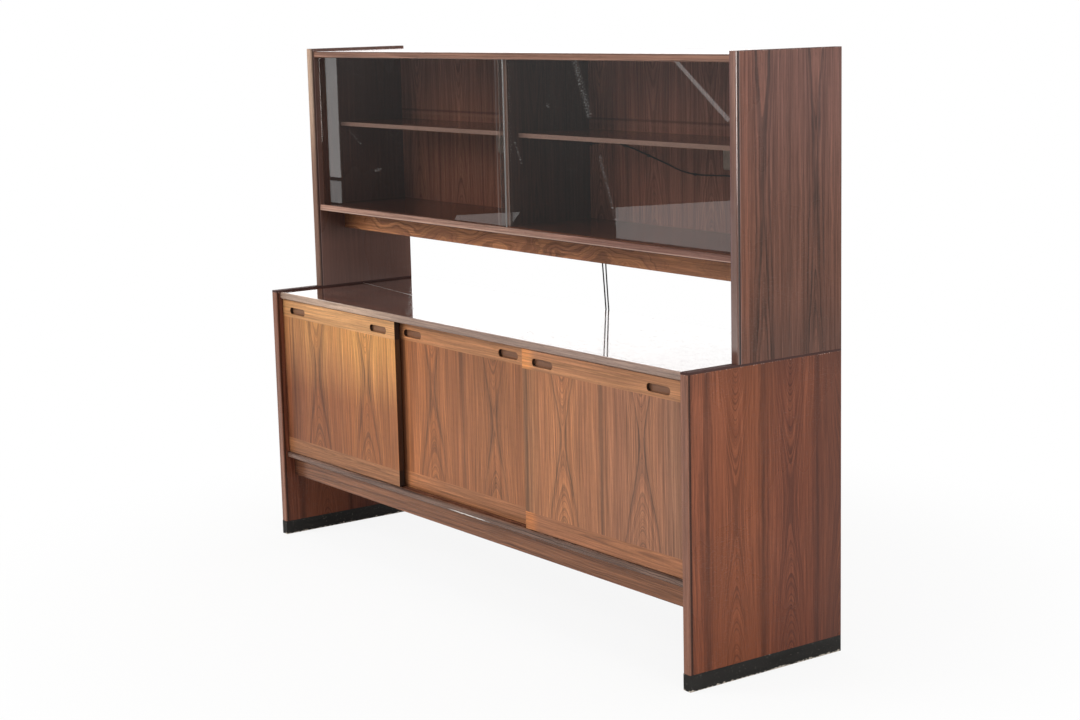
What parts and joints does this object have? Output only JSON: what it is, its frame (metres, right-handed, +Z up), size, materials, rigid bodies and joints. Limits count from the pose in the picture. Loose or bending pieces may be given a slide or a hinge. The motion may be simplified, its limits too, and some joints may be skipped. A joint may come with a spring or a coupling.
{
  "type": "sideboard with display top",
  "caption": "Rosewood sideboard on panel ends, with sliding doors below and a shallower display top with sliding smoked-glass panes, shelves, lamps and cords.",
  "frame": {"origin": "centre of the footprint on the floor", "axes": "+X along the width to the right as seen from the front, +Y towards the back, +Z up"},
  "size_m": [2, 0.6064, 1.52],
  "materials": {
    "case_veneer": "glossy lacquered rosewood veneer, grain along the board",
    "door_veneer": "satin rosewood veneer, upright grain between cross-grained bands",
    "back_veneer": "glossy dark rosewood veneer",
    "solid_edge": "solid rosewood edging, rounded and lacquered",
    "plain_wood": "plain waxed hardwood",
    "black_foot": "matt black stained wood",
    "smoked_glass": "smoked float glass with ground edges",
    "lamp_plastic": "pale opal plastic",
    "cord_plastic": "dark flexible sheath",
    "plug_plastic": "dark moulded plastic",
    "brass": "plain brass"
  },
  "bodies": {
    "case": {"base_apron": "case_veneer", "base_back": "back_veneer", "base_bottom": "case_veneer", "base_bottom_nosing": "solid_edge", "base_lipping_left": "solid_edge", "base_lipping_right": "solid_edge", "base_partition_left": "case_veneer", "base_partition_right": "case_veneer", "base_shelf_left": "case_veneer", "base_shelf_middle": "case_veneer", "base_shelf_pins": "brass", "base_shelf_right": "case_veneer", "base_side_left": "case_veneer", "base_side_right": "case_veneer", "base_top": "case_veneer", "base_top_nosing": "solid_edge", "cord_coil_left": "cord_plastic", "cord_coil_right": "cord_plastic", "cord_left": "cord_plastic", "cord_right": "cord_plastic", "display_shelf_left": "case_veneer", "display_shelf_pins": "brass", "display_shelf_right": "case_veneer", "foot_left": "black_foot", "foot_right": "black_foot", "hutch_apron": "case_veneer", "hutch_back": "back_veneer", "hutch_bottom": "case_veneer", "hutch_bottom_nosing": "solid_edge", "hutch_divider": "case_veneer", "hutch_lipping_left": "solid_edge", "hutch_lipping_right": "solid_edge", "hutch_side_left": "case_veneer", "hutch_side_right": "case_veneer", "hutch_top": "case_veneer", "hutch_top_nosing": "solid_edge", "inner_leads": "cord_plastic", "joining_dowels": "plain_wood", "lamp_bases": "lamp_plastic", "lamp_left": "lamp_plastic", "lamp_right": "lamp_plastic", "lead_clips": "plug_plastic", "lead_grommets": "plug_plastic", "plug_left": "plug_plastic", "plug_pins_left": "brass", "plug_pins_right": "brass", "plug_right": "plug_plastic"},
    "left_door": {"left_door_bands": "door_veneer", "left_door_panel": "door_veneer", "left_door_slips": "plain_wood"},
    "middle_door": {"middle_door_bands": "door_veneer", "middle_door_panel": "door_veneer", "middle_door_slips": "plain_wood"},
    "right_door": {"right_door_bands": "door_veneer", "right_door_panel": "door_veneer", "right_door_slips": "plain_wood"},
    "left_pane": {"glass_left": "smoked_glass"},
    "right_pane": {"glass_right": "smoked_glass"}
  },
  "joints": [
    {"name": "left_door_slide", "type": "slide", "parent": "case", "child": "left_door", "axis": [1, 0, 0], "range_m": [0, 0.62]},
    {"name": "middle_door_slide", "type": "slide", "parent": "case", "child": "middle_door", "axis": [1, 0, 0], "range_m": [-0.623, 0.671]},
    {"name": "right_door_slide", "type": "slide", "parent": "case", "child": "right_door", "axis": [1, 0, 0], "range_m": [-0.62, 0.0165]},
    {"name": "left_pane_slide", "type": "slide", "parent": "case", "child": "left_pane", "axis": [1, 0, 0], "range_m": [0, 0.956]},
    {"name": "right_pane_slide", "type": "slide", "parent": "case", "child": "right_pane", "axis": [1, 0, 0], "range_m": [-0.956, 0]}
  ]
}
